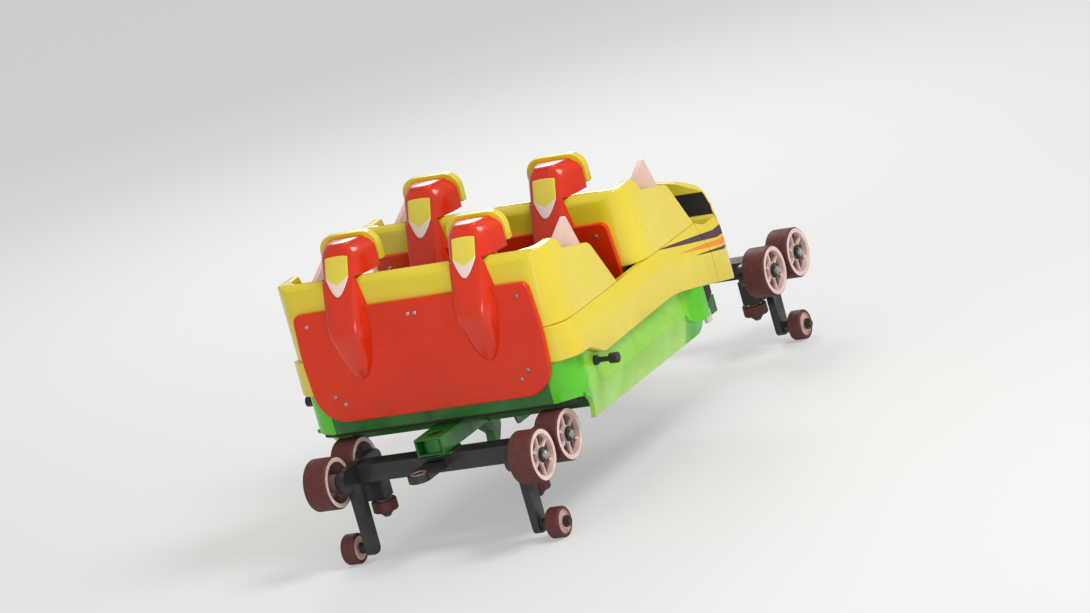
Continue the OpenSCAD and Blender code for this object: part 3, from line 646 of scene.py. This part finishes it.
def shell_skin(row, side):
    """Seat shell as a loft in z. A section runs round the back: its depth is |sin|^(2/p) of the way from the
    front face to the back line, its width |cos|^(2/p) of the half width, times a part that grows from the
    flat back over the chamfer. The top sections shrink about their middle."""
    power, seam = 6, DECK_Z + 0.0004
    # Bottom, top, number of sections and front face of each run: on the panel, on the wall, at the headrest
    runs = ((FOOT_Z + 0.0005, PANEL_TOP, 46, PANEL_BACK - 0.0003), (PANEL_TOP, seam, 16, -0.1004),
            (seam, HEAD_Z - CROWN, 30, 0.0358))
    z = np.concatenate([np.linspace(low, high, count) for low, high, count, face in runs])
    front = np.concatenate([np.full(count, face) for low, high, count, face in runs])
    back, half = shell_lines(z)
    t = np.linspace(0.12, 1.0, 9)
    shrink = np.concatenate([np.ones(len(z)), (1 - t ** 3) ** (1 / 3)])
    z, front, back, half = (np.append(line, [line[-1]] * len(t)) for line in (z, front, back, half))
    z[-len(t):] += CROWN * t
    a = np.linspace(0, math.pi, 49)
    across = np.sign(np.cos(a)) * np.abs(np.cos(a)) ** (2 / power)
    deep = np.sin(a) ** (2 / power)
    x = front[:, None] - (front - back)[:, None] * deep
    grown = np.clip((x - back[:, None]) / CHAMFER, 0, 1)
    y = half[:, None] * across * (BACK_RATIO + (1 - BACK_RATIO) * grown)
    x = x - BULGE * deep * (1 - across ** 2)
    middle = ((front + back) / 2)[:, None]
    x = middle + (x - middle) * shrink[:, None]
    y = y * shrink[:, None] + SIDES[side] * SEAT_PITCH / 2
    points = np.stack([x + ROWS[row], y, np.repeat(z[:, None], len(a), 1)], -1)
    node = f"{row}_{side}_seat_shell"
    faces = lattice_faces(len(z), len(a))
    rolled(piece_of(node + "_skin", node, "seat_gelcoat", points, faces, True, 38), 0.004)


def shields(row):
    """Blank shields on the backs of a row's headrests: a thin lens that follows the shell's back,
    drawn in to a point below and squared off above."""
    low, high, widest, thickest = DECK_Z - 0.060, DECK_Z + 0.086, 0.050, 0.0042
    z = np.linspace(low, high, 44)
    rise = z - low
    point, top = np.clip(rise / 0.068, 0, 1), np.clip((rise - 0.140) / 0.0061, 0, 1)
    half = widest * point ** 0.62 * np.sqrt(1 - top ** 2)
    back, width = shell_lines(z)
    u, v = ring(44, 3.4)
    y = half[:, None] * u
    flat = (width * BACK_RATIO)[:, None]
    thick = thickest * np.minimum(1, half / 0.012)[:, None]
    x = back[:, None] - BULGE * (1 - (y / flat) ** 2) - 0.0005 + thick * np.where(v < 0, v, 0.25 * v)
    z = np.repeat(z[:, None], len(u), 1)
    faces = lattice_faces(len(z), len(u))
    grids = [np.stack([x + ROWS[row], y + side * SEAT_PITCH / 2, z], -1) for side in SIDES.values()]
    both = joined(*[(grid.reshape(-1, 3), faces) for grid in grids])
    piece_of(row + "_shields", row + "_badge_plates", "badge_paint", *both, True, 50)


for row_name in ROWS:
    for side_name in SIDES:
        shell_skin(row_name, side_name)
    shields(row_name)


# Padding

HEADREST_Z = DECK_Z + 0.073


def slab(half, centre, power=7.0, flat=5.0, count=72, rows=26, axis="Z"):
    """Closed pillow: superellipse rings whose size follows (1 - |t|^flat)^(1/flat) from face to face."""
    t = np.sin(np.linspace(-math.pi / 2, math.pi / 2, rows))
    size = (1 - np.abs(t) ** flat) ** (1 / flat)
    u, v = ring(count, power)
    grid = {"Z": (size[:, None] * u, size[:, None] * v, np.repeat(t[:, None], count, 1)),
            "X": (np.repeat(t[:, None], count, 1), size[:, None] * u, size[:, None] * v)}[axis]
    points = np.stack(grid, -1) * np.array(half) + np.array(centre)
    return points.reshape(-1, 3), lattice_faces(rows, count)


def swollen(points, faces, voxel=0.010, most=0.008):
    """A pad as if stuffed: voxel remesh, then Cloth blown up by pressure, no point further than most."""
    pressure, last_frame = 4.0, 20
    pad = bpy.data.objects.new("stuffing", welded_mesh("stuffing", points, faces, PAD_WELD))
    bpy.context.scene.collection.objects.link(pad)
    remesh = pad.modifiers.new("cells", "REMESH")
    remesh.mode, remesh.voxel_size = "VOXEL", voxel
    even = bpy.data.meshes.new_from_object(pad.evaluated_get(bpy.context.evaluated_depsgraph_get()))
    pad.modifiers.clear()
    pad.data = even
    start = np.empty(len(even.vertices) * 3)
    even.vertices.foreach_get("co", start)
    start = start.reshape(-1, 3)
    quads = [list(p.vertices) for p in even.polygons]
    end = start
    cloth = pad.modifiers.new("stuffed", "CLOTH")
    cloth.settings.quality = 4
    cloth.settings.use_pressure = True
    cloth.settings.uniform_pressure_force = pressure
    cloth.settings.effector_weights.gravity = 0.0
    cloth.point_cache.frame_end = last_frame
    for step in range(1, last_frame + 1):
        bpy.context.scene.frame_set(step)
    shape = pad.evaluated_get(bpy.context.evaluated_depsgraph_get()).to_mesh()
    end = np.empty(len(shape.vertices) * 3)
    shape.vertices.foreach_get("co", end)
    end = end.reshape(-1, 3)
    bpy.context.scene.frame_set(1)
    moved = end - start
    length = np.linalg.norm(moved, axis=1, keepdims=True)
    moved *= np.minimum(1.0, most / np.maximum(length, 1e-9))
    bpy.data.objects.remove(pad)
    return start + moved, quads


def sew(points, axis, lines, face_axis, face_from):
    """Presses channels into one face: depth times a bell round each line, only past face_from."""
    depth, spread, ease = 0.006, 0.0065, 0.012
    bell = sum(np.exp(-((points[:, axis] - line) / spread) ** 2) for line in lines)
    on_face = np.clip((points[:, face_axis] - face_from) / ease, 0, 1)
    points[:, face_axis] -= depth * bell * on_face


def piping(points, normal_axis, level, centre):
    """Cord round a pad where it is widest at a level: farthest point in each direction, smoothed."""
    radius, bins, layer = 0.0032, 144, 0.009
    a, b = [k for k in range(3) if k != normal_axis]
    near = points[np.abs(points[:, normal_axis] - level) < layer]
    da, db = near[:, a] - centre[a], near[:, b] - centre[b]
    reach = np.zeros(bins)
    index = ((np.arctan2(db, da) / (2 * math.pi)) % 1 * bins).astype(int) % bins
    np.maximum.at(reach, index, np.hypot(da, db))
    empty = reach == 0
    where = np.arange(bins)
    reach[empty] = np.interp(where[empty], where[~empty], reach[~empty], period=bins)
    for _ in range(2):
        reach = (np.roll(reach, 1) + reach + np.roll(reach, -1)) / 3
    angle = (where + 0.5) / bins * 2 * math.pi
    path = np.zeros((bins, 3))
    path[:, a], path[:, b] = centre[a] + reach * np.cos(angle), centre[b] + reach * np.sin(angle)
    path[:, normal_axis] = level
    return tube(path, radius, 8, np.eye(3)[normal_axis], True)


def cushion_form():
    """Seat cushion in a seat's own frame: flat below, crowned above, its front edge raised."""
    front_rise, crown_rise, tail_x, tail_top = 0.012, 0.006, 0.05, SEAT_Z + 0.0635
    points, faces = swollen(*slab((0.213, 0.234, 0.027), (0.190, 0, SEAT_Z + 0.0275)))
    x, y, z = points.T
    z += front_rise * np.clip((x - 0.12) / 0.26, 0, 1) ** 1.6 * np.clip((z - SEAT_Z) / 0.05, 0, 1)
    sew(points, 0, (0.135, 0.262), 2, SEAT_Z + 0.030)
    crown = crown_rise * (1 - ((x - 0.2) / 0.24) ** 2) * (1 - (y / 0.25) ** 2)
    z += np.maximum(0, crown) * np.clip((z - SEAT_Z - 0.03) / 0.02, 0, 1)
    z[x < tail_x] = np.minimum(z[x < tail_x], tail_top)
    z[:] = np.maximum(z, SEAT_Z + 0.0004)
    return points, faces


def backrest_form():
    """Back pad in a seat's own frame: flat on the wall behind it, with three sewn channels. Its rear corners
    are drawn in to the wall's round of radius corner_r about the upright line at corner_x, corner_y."""
    low, high = SEAT_Z + 0.072, DECK_Z - 0.018
    corner_x, corner_y, corner_r = 0.005, 0.195, 0.0635
    half = (0.040, 0.232, (high - low) / 2 - 0.004)
    points, faces = swollen(*slab(half, (-0.014, 0, (low + high) / 2), 6.0, 4.5, axis="X"))
    sew(points, 2, (low + 0.13, low + 0.235, low + 0.34), 0, 0.004)
    x, y, z = points.T
    out = np.abs(y) - corner_y
    reach = np.hypot(out, x - corner_x)
    far = (out > 0) & (x < corner_x) & (reach > corner_r)
    x[far] = corner_x + (x[far] - corner_x) * corner_r / reach[far]
    y[far] = np.sign(y[far]) * (corner_y + out[far] * corner_r / reach[far])
    x[:] = np.maximum(x, -0.0592)
    z[:] = np.clip(z, SEAT_Z + 0.0655, DECK_Z - 0.006)
    return points, faces


def headrest_form():
    """Headrest pad in a seat's own frame, let into the rim of its shell."""
    pillow = slab((0.019, 0.096, 0.054), (0.060, 0, HEADREST_Z), 4.5, 3.0, 48, 20, "X")
    points, faces = swollen(*pillow, voxel=0.008, most=0.006)
    points[:, 0] = np.maximum(points[:, 0], 0.0368)
    return points, faces


def pads():
    """The three pads of a seat, made once and set in the four seats, with piping round each."""
    # Name, form, axis across the piping's plane, its level and a point inside it
    forms = (("cushion", cushion_form(), 2, SEAT_Z + 0.046, (0.19, 0, 0)),
             ("backrest", backrest_form(), 0, 0.010, (0, 0, (SEAT_Z + DECK_Z) / 2 + 0.03)),
             ("headrest", headrest_form(), 0, 0.060, (0, 0, HEADREST_Z)))
    for row in ROWS:
        for side in SIDES:
            node = f"{row}_{side}_seat_pad"
            shift = np.array([ROWS[row], SIDES[side] * SEAT_PITCH / 2, 0])
            cords = []
            for label, (points, faces), axis, level, centre in forms:
                name, first = f"{row}_{side}_{label}", label == "cushion"
                pad = piece_of(name, node, "black_foam", points + shift, faces, first, 180)
                swell = pad.modifiers.new("smooth", "SUBSURF")
                swell.levels = swell.render_levels = 1
                cords.append(piping(points, axis, level, centre))
            points, faces = joined(*cords)
            piece_of(f"{row}_{side}_piping", node, "edging", points + shift, faces)


def foam_rolls():
    """Foam rolls on the lap bars: turned about the tube, ends rounded, girth waved as if pressed in use."""
    half, radius, bore = 0.2075, 0.0445, 0.0178
    along = np.linspace(-1, 1, 61)
    outer = radius * (1 - 0.30 * np.abs(along) ** 26) + 0.0006 * np.cos(9 * along)
    outer = outer - 0.0016 * np.exp(-((along - 0.1) / 0.3) ** 2)
    rim = np.array([[bore, -half + 0.003], [0.024, -half], [0.031, -half]])
    body = np.stack([outer, along * (half - 0.0015)], -1)
    profile = np.concatenate([rim, body, rim[::-1] * (1, -1), [[bore, half - 0.003]]])
    faces = lattice_faces(len(profile), 64, True)
    for row in ROWS:
        for side in SIDES:
            centre = (ROWS[row] + ROLL_DX, SIDES[side] * SEAT_PITCH / 2, ROLL_Z)
            name, first = f"{row}_{side}_foam_roll", side == "left"
            points = turned_points(profile, 64, centre)
            roll = piece_of(name, row + "_lap_roll", "black_foam", points, faces, first, 60)


pads()
foam_rolls()


# Fasteners and small fittings

def bolt_head(radius, height, washer=1.35):
    """Hexagon head on a round washer, its top chamfered, standing on z = 0."""
    hexagon = [(0, height), (0.80 * radius, height), (radius, 0.82 * height), (radius, 0.0), (0, -0.0005)]
    disc = [(0, 0.14 * height), (washer * radius, 0.14 * height), (washer * radius, -0.0005), (0, -0.0005)]
    return joined(turned(hexagon, 6), turned(disc, 20))


def button_head(radius, height):
    """Domed screw head with a round socket in its top."""
    a = np.linspace(0, math.pi / 2, 6)
    dome = [(0, 0.55 * height), (0.36 * radius, 0.55 * height), (0.40 * radius, height * 0.93)]
    dome += [(radius * (0.42 + 0.58 * math.sin(t)), height * 0.93 * math.cos(t)) for t in a]
    return turned(dome + [(radius, -0.0005), (0, -0.0005)], 20)


def fastened(name, node, finish, form, spots, directions):
    """One joined mesh of like fasteners, each pointing its own way."""
    points, faces = many(*form, spots, [facing(d) for d in directions])
    piece_of(name, node, finish, points, faces, smooth=30)


def outwards(spots):
    """Direction of each spot away from the car's middle plane."""
    return [(0, np.sign(y), 0) for x, y, z in spots]


def bogie_fittings(bogie):
    """Grease caps with their screws, wheel nuts, carrier bolts and the bushes of the coupling's bore. Places
    are those of the outer faces that each of them stands on."""
    end, node = BOGIES[bogie], bogie + "_bogie_beam"
    mid = end * WHEELBASE / 2
    cap_y, screws_r, upstop_y, guide_z, carrier_y = 0.507, 0.0238, 0.4925, 0.1485, 0.384
    eye_dx, eye_half, eye_faces = 0.198, 0.015, (1, -1)
    dome = [(0, 0.0145), (0.006, 0.014), (0.011, 0.0118), (0.0145, 0.008), (0.0155, 0.0035), (0.018, 0.0028),
            (0.0185, 0), (0, -0.0005)]
    caps = [(mid + p * TANDEM / 2, s * cap_y, AXLE_Z) for s in SIDES.values() for p in PLACES.values()]
    fastened(f"{bogie}_grease_caps", node, "plated", turned(dome, 40), caps, outwards(caps))
    quarters = np.arange(4) * math.pi / 2 + math.pi / 4
    studs = [(x + screws_r * math.cos(t), y, z + screws_r * math.sin(t))
             for x, y, z in caps for t in quarters]
    fastened(f"{bogie}_cap_screws", node, "oiled", bolt_head(0.0042, 0.0042, 1.2), studs, outwards(studs))
    nuts = [(mid + end * SMALL_DX, s * upstop_y, UPSTOP_Z) for s in SIDES.values()]
    fastened(f"{bogie}_upstop_nuts", node, "oiled", bolt_head(0.0150, 0.0120), nuts, outwards(nuts))
    nuts = [(mid - end * SMALL_DX, s * GUIDE_Y, guide_z) for s in SIDES.values()]
    fastened(f"{bogie}_guide_nuts", node, "oiled", bolt_head(0.0150, 0.0110), nuts, [(0, 0, -1)] * 2)
    # Carrier bolts: distance beyond the pivot, away from the car's middle, and height over the axles
    bolts = ((0, 0.030), (0, -0.026), (-0.11, -0.0385), (-0.08, -0.12), (-0.046, -0.12))
    plate = [(mid + end * dx, s * carrier_y, AXLE_Z + dz) for s in SIDES.values() for dx, dz in bolts]
    fastened(f"{bogie}_carrier_bolts", node, "oiled", bolt_head(0.0095, 0.0075), plate, outwards(plate))
    collar = [(0.0203, 0.0012), (0.0213, 0.0030), (0.0310, 0.0030), (0.0325, 0.0018), (0.0325, -0.0003),
              (0.0203, -0.0003)]
    bush = turned_points(collar, 48, axis="Z"), lattice_faces(len(collar), 48, True)
    eyes = [(mid + end * eye_dx, 0, AXLE_Z + up * eye_half) for up in eye_faces]
    fastened(f"{bogie}_coupling_bush", node, "plated", bush, eyes, [(0, 0, up) for up in eye_faces])


def row_fittings(row, bottom):
    """Screws of a row's red panel, whose lower edge is given, and of its lap bar's pivots."""
    # Panel screws, on both sides alike: distance from the middle plane, height
    screws = ((0.015, PANEL_TOP - 0.055), (0.425, bottom + 0.105),
              (0.388, bottom + 0.072), (0.462, PANEL_TOP - 0.05))
    spots = [(ROWS[row] + PANEL_BACK, s * y, z) for y, z in screws for s in SIDES.values()]
    fastened(f"{row}_panel_screws", "side_brackets", "plated", button_head(0.0085, 0.0042),
             spots, [(-1, 0, 0)] * len(spots))
    pivots = [(ROWS[row] + PIVOT_DX, s * 0.514, PIVOT_Z) for s in SIDES.values()]
    fastened(f"{row}_pivot_screws", row + "_lap_bar", "plated", bolt_head(0.0125, 0.008),
             pivots, [(0, -s, 0) for s in SIDES.values()])


for bogie_name in BOGIES:
    bogie_fittings(bogie_name)
row_fittings("rear", LOW_Z - 0.068)
row_fittings("front", LOW_Z - 0.118)


def bead(axis, low, high, place, up):
    """Weld bead along an axis from low to high, through a place: a thin bar whose girth ripples along it."""
    along = np.linspace(low, high, 40)
    path = np.tile(np.array(place, float), (40, 1))
    path[:, axis] = along
    return tube(path, 0.0036 + 0.0007 * np.sin(along * 1900), 8, up)


def frame_welds():
    """Weld beads where the cross members meet the spine: on both sides of each member, and under it."""
    members, member_half, spine_half = (-0.75, -0.285, 0.31), 0.035, 0.060
    low, high = AXLE_Z + 0.0393, AXLE_Z + 0.1093
    beads = []
    for x in members:
        for side in SIDES.values():
            for dx in (-member_half, member_half):
                corner = (x + dx, side * spine_half, 0)
                beads.append(bead(2, low + 0.002, high - 0.002, corner, (1, 0, 0)))
            edge = (0, side * (spine_half + 0.0005), low)
            beads.append(bead(0, x - member_half + 0.001, x + member_half - 0.001, edge, (0, 0, 1)))
    piece_of("frame_welds", "chassis_frame", "frame_paint", *joined(*beads))


frame_welds()


# Stage

def area_light(name, place, target, size, power):
    """Round lamp at a place, facing a target."""
    lamp = bpy.data.lights.new(name, "AREA")
    lamp.shape, lamp.size, lamp.energy = "DISK", size, power
    holder = bpy.data.objects.new(name, lamp)
    bpy.context.scene.collection.objects.link(holder)
    holder.location = place
    holder.rotation_euler = (Vector(target) - Vector(place)).to_track_quat("-Z", "Y").to_euler()


def pale_floor():
    """Level floor that shows nearly white to the camera but keeps a shadow."""
    reach = 150.0
    corners = [(-reach, -reach, 0), (reach, -reach, 0), (reach, reach, 0), (-reach, reach, 0)]
    mesh = bpy.data.meshes.new("studio_floor")
    mesh.from_pydata(corners, [], [[0, 1, 2, 3]])
    floor = bpy.data.objects.new("studio_floor", mesh)
    bpy.context.scene.collection.objects.link(floor)
    f = Finish("studio floor", Roughness=0.9, Base_Color=(0.8, 0.8, 0.79), Specular_IOR_Level=0.1)
    seen = f.ray("Is Camera Ray") | f.ray("Is Glossy Ray") * 0.5 | f.ray("Is Transmission Ray")
    glow = f.make("ShaderNodeEmission", sockets={"Color": (1.0, 1.0, 1.0), "Strength": 0.86})
    mix = f.make("ShaderNodeMixShader", sockets={0: seen * 0.4, 1: f.shader.outputs[0], 2: glow.outputs[0]})
    f.tree.links.new(mix.outputs[0], f.tree.nodes["Material Output"].inputs["Surface"])
    dress(floor, f.material)


def soft_sky():
    """Even white surroundings: dim as a light, bright where the camera sees them, past clear pieces too."""
    world = bpy.data.worlds.new("studio")
    bpy.context.scene.world = world
    world.use_nodes = True
    sky = Nodes(world.node_tree)
    seen = sky.ray("Is Camera Ray") | sky.ray("Is Transmission Ray")
    sky.feed(sky.tree.nodes["Background"], {"Color": (1.0, 1.0, 1.0), "Strength": seen * 0.40 + 0.52})


def photo_camera():
    """Behind the car and to its right, looking slightly down, tipped so that the car climbs to the right."""
    towards = Vector((-0.848, -0.48, 0.222)).normalized()
    middle, distance, tip = Vector((-0.02, 0.0, 0.60)), 28.0, math.radians(-15.6)
    data = bpy.data.cameras.new("camera")
    data.sensor_width, data.lens = 36.0, 236.0
    data.clip_end = 400.0
    camera = bpy.data.objects.new("camera", data)
    bpy.context.scene.collection.objects.link(camera)
    level = (-towards).to_track_quat("-Z", "Y").to_matrix().to_4x4()
    tipped = level @ Matrix.Rotation(tip, 4, "Z")
    camera.matrix_world = Matrix.Translation(middle + towards * distance) @ tipped
    bpy.context.scene.camera = camera


# Name, place, target, diameter and power of each lamp
LAMPS = (("key", (-1.2, -5.2, 6.6), (0, 0, 0.6), 3.2, 330),
         ("side", (-8.5, -3.2, 1.6), (0, 0, 0.7), 3.6, 150),
         ("front", (5.4, 3.0, 4.6), (0, 0, 0.6), 3.0, 160))

pale_floor()
soft_sky()
for lamp_row in LAMPS:
    area_light(*lamp_row)
photo_camera()
bpy.context.scene.view_settings.view_transform = "Standard"
